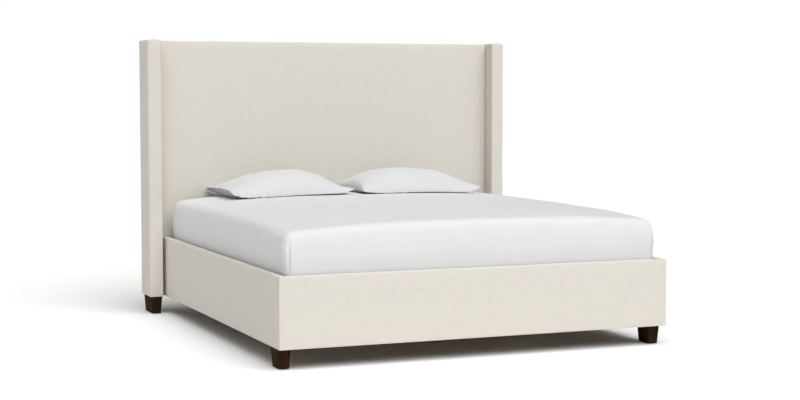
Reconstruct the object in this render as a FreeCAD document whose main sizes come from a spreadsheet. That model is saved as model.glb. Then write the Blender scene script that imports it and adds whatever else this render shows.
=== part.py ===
"""King-size bed with a tall winged headboard, upholstered over a hardwood frame.

Row frame: origin on the floor under the centre of the footprint, +Y towards the headboard,
+X to the right of somebody who looks at the bed from its foot, +Z up. Millimetres.
"""

import FreeCAD, Part
import os
import re
import Sketcher

V = FreeCAD.Vector

# alias, value in mm (or a count), what it is
DIMENSIONS = [
    ("base_width", 2020, "outside of one side rail to the outside of the other"),
    ("base_length", 2048, "footboard's front face to the wings' front faces"),
    ("rail_bottom", 97, "floor to the underside of the upholstery"),
    ("rail_top", 430, "floor to the top of the rails"),
    ("headboard_top", 1548, "floor to the top of the headboard"),
    ("wing_width", 77, "one wing, across the bed"),
    ("wing_depth", 208, "one wing, front to back"),
    ("wing_gap", 20, "side rail's face to the wing beside it"),
    ("wing_recess", 90, "wings' front faces back to the headboard panel"),
    ("cover_thick", 1.5, "upholstery fabric and its backing"),
    ("rail_foam", 12, "padding on a rail's outer face"),
    ("rail_board", 21, "hardwood board inside a rail"),
    ("lip_height", 60, "fabric folded down behind the top of a rail"),
    ("panel_foam", 38, "padding on the face of the headboard"),
    ("top_foam", 10, "padding on the headboard's top edge"),
    ("front_board", 12, "plywood face of the headboard frame"),
    ("frame_member", 45, "width of the headboard's rails and stiles"),
    ("mounting_top", 370, "floor to the top of the headboard's mounting rail"),
    ("wing_foam", 12, "padding round a wing's core"),
    ("slat_top", 375, "floor to the top of the slats"),
    ("slat_thick", 20, "slat"),
    ("slat_width", 110, "slat, along the bed"),
    ("slat_count", 11, "slats"),
    ("slat_pitch", 191, "centre to centre of the slats"),
    ("slat_start", 105, "footboard's front face to the first slat's centre"),
    ("slat_clear", 3, "slat's end to the rail's board"),
    ("ledger_wide", 30, "strip under the slats' ends"),
    ("ledger_high", 45, "strip under the slats' ends"),
    ("beam_wide", 45, "centre beam"),
    ("beam_high", 80, "centre beam"),
    ("hanger_reach", 50, "beam hanger's seat and cheeks, along the beam"),
    ("hanger_ear", 25, "beam hanger's ear, beyond the beam's side"),
    ("hanger_play", 0.5, "beam's side to its hanger's cheek"),
    ("hanger_screw", 18, "screw through a hanger's ear"),
    ("bracket_leg", 60, "steel corner bracket, each leg"),
    ("bracket_thick", 3, "steel corner bracket and beam hangers"),
    ("bracket_high", 130, "steel corner bracket"),
    ("bracket_low", 170, "floor to the bottom of a corner bracket"),
    ("bolt_radius", 4, "bolts through brackets, wings and legs"),
    ("bolt_clear", 0.2, "radial clearance of a bolt in its hole"),
    ("head_radius", 7, "bolt head"),
    ("head_thick", 5, "bolt head"),
    ("screw_radius", 2, "slat screw"),
    ("screw_head", 4.5, "slat screw head, radius"),
    ("screw_head_thick", 2.5, "slat screw head"),
    ("screw_recess", 3, "depth of a slat's recess for a screw head"),
    ("screw_clear", 0.2, "radial clearance of a screw in its hole"),
    ("screw_length", 40, "slat screw"),
    ("wing_bolt_length", 95, "bolt from a stile into a wing"),
    ("leg_bolt_length", 75, "hanger bolt of a leg"),
    ("leg_bolt_depth", 35, "hanger bolt inside the leg"),
    ("front_leg_wide", 62, "top of a front leg, across the bed"),
    ("front_leg_deep", 112, "top of a front leg, along the bed"),
    ("rear_leg_wide", 64, "top of a rear leg, across the bed"),
    ("rear_leg_deep", 170, "top of a rear leg, along the bed"),
    ("leg_draft", 4.2, "degrees that each side of a leg leans in towards the floor"),
    ("leg_arris", 2, "radius of a leg's upright edges"),
    ("front_leg_inset", 9, "side rail's face to the leg's top"),
    ("front_leg_setback", 49, "footboard's face to the leg's top"),
    ("rear_leg_inset", 6, "wing's faces to the leg's top"),
    ("glide_radius", 14, "nylon glide under a leg"),
    ("glide_thick", 3, "nylon glide under a leg"),
    ("block_wide", 50, "corner block over a front leg, across the bed"),
    ("block_long", 140, "corner block over a front leg, along the bed"),
    ("block_high", 60, "corner block over a front leg"),
    ("centre_leg", 45, "square leg under the centre beam"),
    ("centre_leg_spread", 620, "bed's centre to each leg under the beam"),
    ("foot_height", 12.3, "floor to the underside of a centre leg"),
    ("foot_radius", 19, "levelling foot's pad"),
    ("foot_pad", 6, "levelling foot's pad"),
    ("foot_hex", 7.5, "levelling foot's hexagon, centre to corner"),
    ("foot_stem", 36, "levelling foot's stem above its hexagon"),
    ("foot_bore", 45, "depth of the bore in a centre leg"),
    ("foot_clear", 0.05, "radial clearance of the stem in its bore"),
    ("mattress_width", 1930, "king mattress"),
    ("mattress_length", 2032, "king mattress"),
    ("mattress_thick", 302, "king mattress"),
    ("mattress_round", 45, "radius of the mattress's edges"),
    ("mattress_low", 377, "floor to the mattress's underside"),
    ("mattress_setback", 43, "footboard's face to the mattress"),
    ("sheet_thick", 1.5, "fitted sheet"),
    ("sheet_tuck", 140, "sheet turned in under the mattress"),
    ("pillow_width", 730, "pillow, seam to seam"),
    ("pillow_depth", 500, "pillow, seam to seam"),
    ("pillow_high", 138, "pillow"),
    ("pillow_edge", 14, "pillow's seam above the sheet"),
    ("pillow_seam", 5, "thickness of the pillow at its seam"),
    ("pillow_gap", 0.4, "sheet to the pillows' undersides"),
    ("pillow_setback", 12, "headboard panel to the pillows"),
    ("left_pillow_place", -391, "centre of the left pillow"),
    ("right_pillow_place", 391, "centre of the right pillow"),
]

doc = FreeCAD.newDocument("Bed")
sheet = doc.addObject("Spreadsheet::Sheet", "Dims")
for row, (alias, value, meaning) in enumerate(DIMENSIONS, start=1):
    sheet.set(f"A{row}", str(value))
    sheet.set(f"B{row}", meaning)
    sheet.setAlias(f"A{row}", alias)
gauge = doc.addObject("App::VarSet", "Gauge")
gauge.addProperty("App::PropertyFloat", "Reading")
doc.recompute()


def size(alias):
    """The number in the sheet."""
    return float(getattr(sheet, alias))


def bound(text):
    """An expression in the sheet's aliases, with the sheet's name put before each."""
    return re.sub(r"[a-z_]{3,}", r"Dims.\g<0>", text)


def value(text):
    """The number that an expression in the sheet's aliases comes to."""
    gauge.setExpression("Reading", bound(text))
    gauge.recompute()
    return gauge.Reading


# Places that many pieces share, as expressions in the sheet's aliases
FRONT = "(-(base_length + wing_depth) / 2)"  # footboard's front face
BACK = "((base_length + wing_depth) / 2)"  # headboard's back
WING_FRONT = "((base_length - wing_depth) / 2)"
PANEL = f"({WING_FRONT} + wing_recess)"  # headboard's padded face
RAIL_THICK = "(rail_foam + rail_board + 2 * cover_thick)"
WELL_HALF = "(base_width / 2 - cover_thick - rail_foam - rail_board)"  # inside of a rail's board
FOOT_INSIDE = f"({FRONT} + cover_thick + rail_foam + rail_board)"
HEAD_HALF = "(base_width / 2 + wing_gap)"  # inner face of a wing
SLAT_LOW = "(slat_top - slat_thick)"
FRAME_FRONT = f"({PANEL} + cover_thick + panel_foam + front_board)"
FRAME_TOP = "(headboard_top - cover_thick - top_foam)"
STILE_LOW = "(rail_bottom + cover_thick + 2 * frame_member)"
STILE_HIGH = f"({FRAME_TOP} - frame_member - {STILE_LOW})"
STILE_MIDDLE = f"({FRAME_FRONT} + ({BACK} - cover_thick - {FRAME_FRONT}) / 2)"
WING_BOLT_HEIGHTS = [f"({STILE_LOW} + {STILE_HIGH} * {share})" for share in (0.15, 0.5, 0.85)]
BRACKET_BOLT_HEIGHTS = [f"(bracket_low + bracket_high * {share})" for share in (0.25, 0.75)]
BRACKET_BOLT_ACROSS = f"({WELL_HALF} - bracket_leg / 2)"
HANGER_LOW = f"({SLAT_LOW} - beam_high)"
HANGER_SCREW_HEIGHTS = [f"({HANGER_LOW} + beam_high * {share})" for share in (0.2, 0.8)]
HANGER_SCREW_ACROSS = "(beam_wide / 2 + hanger_play + hanger_ear * 0.6)"
PIECES = []


def keep(piece, label):
    """Names a finished sub-part, whose Label names its file."""
    piece.Label = label
    PIECES.append(piece)
    return piece


def put(piece, place):
    """Binds a piece's place to the sheet."""
    for axis, text in zip("xyz", place):
        piece.setExpression(f"Placement.Base.{axis}", bound(text))


def plane_of(body, role):
    return next(f for f in body.Origin.OriginFeatures if f.Role == role)


def sketch_on(body, role, name):
    sketch = body.newObject("Sketcher::SketchObject", name)
    sketch.AttachmentSupport = [(plane_of(body, role), "")]
    sketch.MapMode = "FlatFace"
    return sketch


def rectangle(sketch, low, wide, high):
    """A rectangle from low = (across, up), all four measures bound to the sheet."""
    corners = [V(0, 0, 0), V(10, 0, 0), V(10, 10, 0), V(0, 10, 0)]
    for i in range(4):
        sketch.addGeometry(Part.LineSegment(corners[i], corners[(i + 1) % 4]), False)
    for i in range(4):
        sketch.addConstraint(Sketcher.Constraint("Coincident", i, 2, (i + 1) % 4, 1))
    for i, kind in enumerate(("Horizontal", "Vertical", "Horizontal", "Vertical")):
        sketch.addConstraint(Sketcher.Constraint(kind, i))
    measures = [("DistanceX", 0, 1, 0, 2, wide), ("DistanceY", 1, 1, 1, 2, high)]
    measures += [("DistanceX", -1, 1, 0, 1, low[0]), ("DistanceY", -1, 1, 0, 1, low[1])]
    for kind, a, a_end, b, b_end, text in measures:
        n = sketch.addConstraint(Sketcher.Constraint(kind, a, a_end, b, b_end, 10.0))
        sketch.setExpression(f"Constraints[{n}]", bound(text))


def circles(sketch, centres, radius):
    """Circles of one radius, each centre and the radius bound to the sheet."""
    for across, up in centres:
        g = sketch.addGeometry(Part.Circle(V(5, 5, 0), V(0, 0, 1), 2), False)
        n = sketch.addConstraint(Sketcher.Constraint("Radius", g, 2.0))
        sketch.setExpression(f"Constraints[{n}]", bound(radius))
        for kind, text in (("DistanceX", across), ("DistanceY", up)):
            n = sketch.addConstraint(Sketcher.Constraint(kind, -1, 1, g, 3, 5.0))
            sketch.setExpression(f"Constraints[{n}]", bound(text))


def block(label, low, extent, rounding=None):
    """A body padded up from a rectangle: low corner and extent as expressions, edges rounded."""
    body = doc.addObject("PartDesign::Body", label)
    outline = sketch_on(body, "XY_Plane", f"{label}_outline")
    rectangle(outline, ("0", "0"), extent[0], extent[1])
    pad = body.newObject("PartDesign::Pad", f"{label}_pad")
    pad.Profile = outline
    pad.setExpression("Length", bound(extent[2]))
    doc.recompute()
    if rounding:
        fillet = body.newObject("PartDesign::Fillet", f"{label}_round")
        fillet.Base = (pad, ["Face1"])
        fillet.UseAllEdges = True
        fillet.setExpression("Radius", bound(rounding))
        doc.recompute()
    put(body, low)
    return keep(body, label)


def drill(body, role, centres, radius, depth=None, backwards=False):
    """Round holes along the normal of one of the body's origin planes, right through or to a depth."""
    before = body.Shape.Volume
    sketch = sketch_on(body, role, f"{body.Name}_holes")
    circles(sketch, centres, radius)
    pocket = body.newObject("PartDesign::Pocket", f"{body.Name}_drilled")
    pocket.Profile = sketch
    if depth is None:
        pocket.Type = "ThroughAll"
        pocket.Midplane = True
    else:
        pocket.Type = "Length"
        pocket.Reversed = backwards
        pocket.setExpression("Length", bound(depth))
    doc.recompute()
    if body.Shape.Volume >= before:
        raise RuntimeError(f"{body.Name}: the holes cut nothing")
    return pocket


def solid_box(name, low, extent, rounding=None):
    """A Part box bound to the sheet, its edges rounded where rounding is given."""
    box = doc.addObject("Part::Box", name)
    for side, text in zip(("Length", "Width", "Height"), extent):
        box.setExpression(side, bound(text))
    put(box, low)
    if rounding is None:
        return box
    doc.recompute()
    radius = size(rounding) if isinstance(rounding, str) else rounding
    round_box = doc.addObject("Part::Fillet", f"{name}_round")
    round_box.Base = box
    round_box.Edges = [(n + 1, radius, radius) for n in range(len(box.Shape.Edges))]
    return round_box


def cut(name, base, tool):
    made = doc.addObject("Part::Cut", name)
    made.Base = base
    made.Tool = tool
    return made


def fuse(name, *shapes):
    made = doc.addObject("Part::MultiFuse", name)
    made.Shapes = list(shapes)
    return made


def grown(low, extent, by):
    """The box that stands proud of another by an expression, all round."""
    return [f"{a} - {by}" for a in low], [f"{a} + 2 * {by}" for a in extent]


def cover(label, low, extent, openings):
    """A fabric shell round a box of padding and boards, with openings and holes cut from it."""
    inside_low, inside_extent = grown(low, extent, "(-cover_thick)")
    outer = solid_box(f"{label}_outer", low, extent, "cover_thick")
    inner = solid_box(f"{label}_inner", inside_low, inside_extent)
    shell = cut(f"{label}_shell", outer, inner)
    return keep(cut(label, shell, openings), label)


def group(label, shapes):
    """Identical hardware in one node: separate solids, as a compound."""
    made = doc.addObject("Part::Feature", label)
    made.Shape = Part.makeCompound(shapes)
    return keep(made, label)


def bolt(start, direction, length, radius, head_radius, head_thick):
    """A bolt whose shank starts under its head at start and runs along direction."""
    shank = Part.makeCylinder(radius, length, start, direction)
    head = Part.makeCylinder(head_radius, head_thick, start - direction * head_thick, direction)
    return shank.fuse(head).removeSplitter()


# ---------------------------------------------------------------- side rails and footboard


def side_rails():
    """A hardwood board with padding on its outer face, in a fabric sleeve stapled inside."""
    start = f"({FRONT} + {RAIL_THICK})"
    length = f"({PANEL} - bracket_thick - {start})"
    height = "(rail_top - rail_bottom)"
    board_z = "rail_bottom + cover_thick"
    board_length = f"{length} - 2 * cover_thick"
    board_start = f"({start} + cover_thick)"
    board_height = f"{height} - 2 * cover_thick"
    for side, sign in (("left", -1), ("right", 1)):
        board_x = f"-{WELL_HALF} - rail_board" if sign < 0 else WELL_HALF
        foam_x = "-base_width / 2 + cover_thick" if sign < 0 else f"{WELL_HALF} + rail_board"
        board = block(
            f"{side}_side_rail_board",
            (board_x, board_start, board_z),
            ("rail_board", board_length, board_height),
        )
        near = f"({FOOT_INSIDE} + bracket_leg / 2 - {board_start})"
        far = f"({PANEL} - bracket_leg / 2 - {board_start})"
        places = [(y, f"{z} - ({board_z})") for y in (near, far) for z in BRACKET_BOLT_HEIGHTS]
        drill(board, "YZ_Plane", places, "bolt_radius + bolt_clear")
        foam_extent = ("rail_foam", board_length, board_height)
        block(f"{side}_side_rail_foam", (foam_x, board_start, board_z), foam_extent)
        sleeve_x = "-base_width / 2" if sign < 0 else f"base_width / 2 - {RAIL_THICK}"
        window_x = f"{sign} * {WELL_HALF} - 1.5 * cover_thick"
        opening = solid_box(
            f"{side}_side_rail_opening",
            (window_x, f"{start} - cover_thick", "rail_bottom - cover_thick"),
            ("3 * cover_thick", f"{length} + 2 * cover_thick", f"{height} - lip_height"),
        )
        extent = (RAIL_THICK, length, height)
        cover(f"{side}_side_rail_cover", (sleeve_x, start, "rail_bottom"), extent, opening)


def footboard():
    """The same build as a side rail, across the whole foot, so its ends show beside the side rails."""
    height = "(rail_top - rail_bottom)"
    width = "(base_width - 2 * cover_thick)"
    board_z = "rail_bottom + cover_thick"
    board = block(
        "footboard_board",
        ("-base_width / 2 + cover_thick", f"{FRONT} + cover_thick + rail_foam", board_z),
        (width, "rail_board", f"{height} - 2 * cover_thick"),
    )
    fastener_holes(board, "(-base_width / 2 + cover_thick)", board_z)
    foam_low = ("-base_width / 2 + cover_thick", f"{FRONT} + cover_thick", board_z)
    block("footboard_foam", foam_low, (width, "rail_foam", f"{height} - 2 * cover_thick"))
    opening = solid_box(
        "footboard_opening",
        (f"-{WELL_HALF}", f"{FOOT_INSIDE} - cover_thick", "rail_bottom - cover_thick"),
        (f"2 * {WELL_HALF}", "3 * cover_thick", f"{height} - lip_height"),
    )
    extent = ("base_width", RAIL_THICK, height)
    cover("footboard_cover", ("-base_width / 2", FRONT, "rail_bottom"), extent, opening)


# ---------------------------------------------------------------- headboard


def headboard_frame():
    """Rails and stiles behind a plywood face, and the thick rail that the bed is bolted to."""
    half = f"({HEAD_HALF} - cover_thick)"
    low = "(rail_bottom + cover_thick)"
    depth = f"({BACK} - cover_thick - {FRAME_FRONT})"
    top = f"{FRAME_TOP} - frame_member"
    block("headboard_top_rail", (f"-{half}", FRAME_FRONT, top), (f"2 * {half}", depth, "frame_member"))
    block("headboard_bottom_rail", (f"-{half}", FRAME_FRONT, low), (f"2 * {half}", depth, "2 * frame_member"))
    stiles = (("left", f"-{half}"), ("center", "-frame_member / 2"), ("right", f"{half} - frame_member"))
    for name, x in stiles:
        extent = ("frame_member", depth, STILE_HIGH)
        stile = block(f"headboard_{name}_stile", (x, FRAME_FRONT, STILE_LOW), extent)
        if name != "center":
            places = [(f"{depth} / 2", f"{z} - {STILE_LOW}") for z in WING_BOLT_HEIGHTS]
            drill(stile, "YZ_Plane", places, "bolt_radius + bolt_clear")
    block(
        "headboard_front_board",
        (f"-{half}", f"{PANEL} + cover_thick + panel_foam", low),
        (f"2 * {half}", "front_board", f"{FRAME_TOP} - {low}"),
    )
    mounting = block(
        "headboard_mounting_rail",
        (f"-{half}", f"{PANEL} + cover_thick", low),
        (f"2 * {half}", "panel_foam", f"mounting_top - {low}"),
    )
    fastener_holes(mounting, f"(-{half})", low)


def headboard_upholstery():
    """Padding over the face and top, a cover over face, top and sides, and a flat back panel."""
    half = f"({HEAD_HALF} - cover_thick)"
    face = solid_box(
        "headboard_foam_face",
        (f"-{half}", f"{PANEL} + cover_thick", "mounting_top"),
        (f"2 * {half}", "panel_foam", "headboard_top - cover_thick - mounting_top"),
    )
    cap = solid_box(
        "headboard_foam_cap",
        (f"-{half}", f"{PANEL} + cover_thick + panel_foam", FRAME_TOP),
        (f"2 * {half}", f"{BACK} - {PANEL} - 2 * cover_thick - panel_foam", "top_foam"),
    )
    keep(fuse("headboard_foam", face, cap), "headboard_foam").Refine = True

    low = (f"-{HEAD_HALF}", PANEL, "rail_bottom")
    extent = (f"2 * {HEAD_HALF}", f"{BACK} - {PANEL}", "headboard_top - rail_bottom")
    open_back = solid_box(
        "headboard_open_back",
        (f"-{half}", f"{BACK} - 2 * cover_thick", "rail_bottom + cover_thick"),
        (f"2 * {half}", "3 * cover_thick", "headboard_top - rail_bottom - 2 * cover_thick"),
    )
    tools = [open_back]
    for sign in (-1, 1):
        for z in BRACKET_BOLT_HEIGHTS:
            tools.append(hole_along_y(f"{sign} * {BRACKET_BOLT_ACROSS}", z, "bolt_radius + bolt_clear"))
        for z in HANGER_SCREW_HEIGHTS:
            tools.append(hole_along_y(f"{sign} * {HANGER_SCREW_ACROSS}", z, "screw_radius + screw_clear"))
        tools.append(wing_bolt_holes(sign))
    cover("headboard_front_cover", low, extent, fuse("headboard_cover_openings", *tools))
    block(
        "headboard_back_cover",
        (f"-{half}", f"{BACK} - cover_thick", "rail_bottom + cover_thick"),
        (f"2 * {half}", "cover_thick", "headboard_top - rail_bottom - 2 * cover_thick"),
    )


def hole_along_y(x, z, radius):
    """A tool that pierces the headboard's cover from the front."""
    hole = doc.addObject("Part::Cylinder", "cover_hole")
    hole.setExpression("Radius", bound(radius))
    hole.setExpression("Height", bound("4 * cover_thick"))
    hole.Placement.Rotation = FreeCAD.Rotation(V(1, 0, 0), -90)
    put(hole, (x, f"{PANEL} - cover_thick", z))
    return hole


def wing_bolt_holes(sign):
    """A tool that pierces the covers and the padding where one wing's bolts pass."""
    holes = []
    for z in WING_BOLT_HEIGHTS:
        hole = doc.addObject("Part::Cylinder", "wing_bolt_hole")
        hole.setExpression("Radius", bound("bolt_radius + bolt_clear"))
        hole.setExpression("Height", bound("4 * wing_foam"))
        hole.Placement.Rotation = FreeCAD.Rotation(V(0, 1, 0), 90)
        put(hole, (f"{sign} * {HEAD_HALF} - 2 * wing_foam", STILE_MIDDLE, z))
        holes.append(hole)
    return fuse("wing_bolt_holes", *holes)


def wings():
    """A laminated core, padding round three sides and the top, and a fabric cover."""
    low_z = "(rail_bottom + cover_thick)"
    core_wide = "(wing_width - 2 * (cover_thick + wing_foam))"
    core_deep = "(wing_depth - 2 * cover_thick - wing_foam)"
    for side, sign in (("left", -1), ("right", 1)):
        shell_x = f"-{HEAD_HALF} - wing_width" if sign < 0 else HEAD_HALF
        core_x = f"{shell_x} + cover_thick + wing_foam"
        core_y = f"{WING_FRONT} + cover_thick + wing_foam"
        core = block(
            f"{side}_wing_core",
            (core_x, core_y, low_z),
            (core_wide, core_deep, f"{FRAME_TOP} - {low_z}"),
        )
        places = [(f"{STILE_MIDDLE} - ({core_y})", f"{z} - {low_z}") for z in WING_BOLT_HEIGHTS]
        drill(core, "YZ_Plane", places, "bolt_radius + bolt_clear")
        reach = "rear_leg_inset + rear_leg_deep / 2 - cover_thick - wing_foam"
        places = [(f"{core_wide} / 2", f"{reach} + {share} * rear_leg_deep") for share in (-0.25, 0.25)]
        depth = "leg_bolt_length - leg_bolt_depth + 2"
        drill(core, "XY_Plane", places, "bolt_radius + bolt_clear", depth, backwards=True)

        padding_low = (f"{shell_x} + cover_thick", f"{WING_FRONT} + cover_thick", low_z)
        padding_extent = (
            "wing_width - 2 * cover_thick",
            "wing_depth - 2 * cover_thick",
            f"headboard_top - cover_thick - {low_z}",
        )
        hollow = solid_box(
            f"{side}_wing_hollow",
            (core_x, core_y, f"{low_z} - 1"),
            (core_wide, f"{core_deep} + 1", f"{FRAME_TOP} - {low_z} + 1"),
        )
        padding = solid_box(f"{side}_wing_padding", padding_low, padding_extent)
        holes = wing_bolt_holes(sign)
        tools = fuse(f"{side}_wing_foam_openings", hollow, holes)
        keep(cut(f"{side}_wing_foam", padding, tools), f"{side}_wing_foam")

        underside = solid_box(
            f"{side}_wing_underside",
            (core_x, core_y, "rail_bottom - cover_thick"),
            (core_wide, core_deep, "3 * cover_thick"),
        )
        extent = ("wing_width", "wing_depth", "headboard_top - rail_bottom")
        openings = fuse(f"{side}_wing_cover_openings", underside, holes)
        cover(f"{side}_wing_cover", (shell_x, WING_FRONT, "rail_bottom"), extent, openings)


def wing_bolts():
    """Three bolts a side, from inside the headboard through its stile into the wing's core."""
    y = value(STILE_MIDDLE)
    x = value(f"{HEAD_HALF} - cover_thick - frame_member")
    shape = size("wing_bolt_length"), size("bolt_radius"), size("head_radius"), size("head_thick")
    made = []
    for sign in (-1, 1):
        for height in WING_BOLT_HEIGHTS:
            made.append(bolt(V(sign * x, y, value(height)), V(sign, 0, 0), *shape))
    group("wing_bolts", made)


# ---------------------------------------------------------------- hardware at the corners


def fastener_holes(board, left_end, bottom):
    """Holes along a cross board for the brackets' bolts and for the hanger's screws."""
    def places(across, heights):
        return [(f"{sign} * {across} - {left_end}", f"{z} - ({bottom})") for sign in (-1, 1) for z in heights]

    bolts = places(BRACKET_BOLT_ACROSS, BRACKET_BOLT_HEIGHTS)
    drill(board, "XZ_Plane", bolts, "bolt_radius + bolt_clear")
    screws = places(HANGER_SCREW_ACROSS, HANGER_SCREW_HEIGHTS)
    drill(board, "XZ_Plane", screws, "screw_radius + screw_clear")


def corner_brackets():
    """Four steel angles that bolt the side rails to the headboard and to the footboard."""
    leg, thick, high = size("bracket_leg"), size("bracket_thick"), size("bracket_high")
    low, hole, inside = size("bracket_low"), size("bolt_radius") + size("bolt_clear"), value(WELL_HALF)
    shape = size("rail_board"), size("bolt_radius"), size("head_radius"), size("head_thick")
    brackets, bolts = [], []
    for sign in (-1, 1):
        for end, towards in ((value(FOOT_INSIDE), 1), (value(PANEL), -1)):
            corner = V(sign * inside, end, low)
            angle = box_from(corner, V(-sign * thick, towards * leg, high))
            angle = angle.fuse(box_from(corner, V(-sign * leg, towards * thick, high))).removeSplitter()
            for height in BRACKET_BOLT_HEIGHTS:
                z = value(height)
                into_rail = V(sign * (inside - thick), end + towards * leg / 2, z)
                into_end = V(sign * (inside - leg / 2), end + towards * thick, z)
                for start, way in ((into_rail, V(sign, 0, 0)), (into_end, V(0, -towards, 0))):
                    angle = angle.cut(Part.makeCylinder(hole, 2 * thick, start - way, way))
                    bolts.append(bolt(start, way, *shape))
            brackets.append(angle)
    group("corner_brackets", brackets)
    group("bracket_bolts", bolts)


def box_from(corner, diagonal):
    """A box between a corner and the corner opposite it."""
    low = V(*(min(a, a + d) for a, d in zip(corner, diagonal)))
    return Part.makeBox(*(abs(d) for d in diagonal), low)


# ---------------------------------------------------------------- slatted deck


def deck():
    """Ledgers on the side rails, a beam down the middle, and slats screwed down to them."""
    front = f"({FOOT_INSIDE} + bracket_thick)"
    deck_length = f"({PANEL} - bracket_thick - {front})"
    for side, x in (("left", f"-{WELL_HALF}"), ("right", f"{WELL_HALF} - ledger_wide")):
        block(
            f"{side}_slat_ledger",
            (x, front, f"{SLAT_LOW} - ledger_high"),
            ("ledger_wide", deck_length, "ledger_high"),
        )
    block("center_beam", ("-beam_wide / 2", front, HANGER_LOW), ("beam_wide", deck_length, "beam_high"))
    beam_hangers()
    first = f"({FRONT} + slat_start)"
    length = f"(2 * ({WELL_HALF} - slat_clear))"
    screws = []
    hole = "screw_radius + screw_clear"
    sink = "screw_head + screw_clear"
    ends = ["ledger_wide / 2", f"{length} / 2", f"{length} - ledger_wide / 2"]
    seat = size("slat_top") - size("screw_recess")
    screw = size("screw_length"), size("screw_radius"), size("screw_head"), size("screw_head_thick")
    for n in range(int(size("slat_count"))):
        y = f"({first} + {n} * slat_pitch - slat_width / 2)"
        slat = block(
            f"slat_{n + 1:02d}",
            (f"-{length} / 2", y, SLAT_LOW),
            (length, "slat_width", "slat_thick"),
        )
        places = [(x, "slat_width / 2") for x in ends]
        drill(slat, "XY_Plane", places, hole)
        countersink(slat, places, sink)
        for x in ends:
            start = V(value(f"-{length} / 2 + {x}"), value(f"{y} + slat_width / 2"), seat)
            screws.append(bolt(start, V(0, 0, -1), *screw))
    group("slat_screws", screws)


def countersink(slat, places, radius):
    """Flat-bottomed recesses for the screw heads, cut down from the slat's top."""
    sketch = sketch_on(slat, "XY_Plane", f"{slat.Name}_recesses")
    sketch.setExpression("AttachmentOffset.Base.z", bound("slat_thick"))
    circles(sketch, places, radius)
    before = slat.Shape.Volume
    pocket = slat.newObject("PartDesign::Pocket", f"{slat.Name}_recess")
    pocket.Profile = sketch
    pocket.Type = "Length"
    pocket.setExpression("Length", bound("screw_recess"))
    doc.recompute()
    if slat.Shape.Volume >= before:
        raise RuntimeError(f"{slat.Name}: the recesses cut nothing")


def beam_hangers():
    """Steel stirrups for the beam's two ends, each a back plate, a seat and two cheeks, and their screws."""
    thick, reach, high = size("bracket_thick"), size("hanger_reach"), size("beam_high")
    half = size("beam_wide") / 2 + size("hanger_play")
    low = value(HANGER_LOW) - thick
    ear = half + size("hanger_ear")
    hole = size("screw_radius") + size("screw_clear")
    screw = size("hanger_screw"), size("screw_radius"), size("screw_head"), size("screw_head_thick")
    hangers, screws = [], []
    for end, towards in ((value(FOOT_INSIDE), 1), (value(PANEL), -1)):
        seat_y = min(end, end + towards * reach)
        back = Part.makeBox(2 * ear, thick, high, V(-ear, min(end, end + towards * thick), low))
        seat = Part.makeBox(2 * (half + thick), reach, thick, V(-half - thick, seat_y, low))
        cheeks = [Part.makeBox(thick, reach, high, V(x, seat_y, low)) for x in (-half - thick, half)]
        hanger = back.fuse([seat, *cheeks]).removeSplitter()
        for sign in (-1, 1):
            for height in HANGER_SCREW_HEIGHTS:
                start = V(sign * value(HANGER_SCREW_ACROSS), end + towards * thick, value(height))
                way = V(0, -towards, 0)
                hanger = hanger.cut(Part.makeCylinder(hole, 2 * thick, start - way, way))
                screws.append(bolt(start, way, *screw))
        hangers.append(hanger)
    group("beam_hangers", hangers)
    group("hanger_screws", screws)


# ---------------------------------------------------------------- legs


def tapered_leg(label, low, wide, deep, high):
    """A rectangular leg that narrows to the floor, drafted down from its top."""
    body = doc.addObject("PartDesign::Body", label)
    top = sketch_on(body, "XY_Plane", f"{label}_top")
    top.setExpression("AttachmentOffset.Base.z", bound(high))
    rectangle(top, ("0", "0"), wide, deep)
    pad = body.newObject("PartDesign::Pad", f"{label}_pad")
    pad.Profile = top
    pad.Reversed = True
    pad.setExpression("Length", bound(high))
    pad.setExpression("TaperAngle", bound("-leg_draft"))
    doc.recompute()
    arrises = body.newObject("PartDesign::Fillet", f"{label}_arrises")
    upright = [n + 1 for n, e in enumerate(pad.Shape.Edges) if e.BoundBox.ZLength > size("glide_radius")]
    arrises.Base = (pad, [f"Edge{n}" for n in upright])
    arrises.setExpression("Radius", bound("leg_arris"))
    put(body, low)
    doc.recompute()
    return keep(body, label)


def bore_from_top(body, places, radius, high, depth):
    """Blind holes down from the top of a leg."""
    sketch = sketch_on(body, "XY_Plane", f"{body.Name}_bores")
    sketch.setExpression("AttachmentOffset.Base.z", bound(high))
    circles(sketch, places, radius)
    before = body.Shape.Volume
    pocket = body.newObject("PartDesign::Pocket", f"{body.Name}_bored")
    pocket.Profile = sketch
    pocket.Type = "Length"
    pocket.setExpression("Length", bound(depth))
    doc.recompute()
    if body.Shape.Volume >= before:
        raise RuntimeError(f"{body.Name}: the bores cut nothing")


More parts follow.
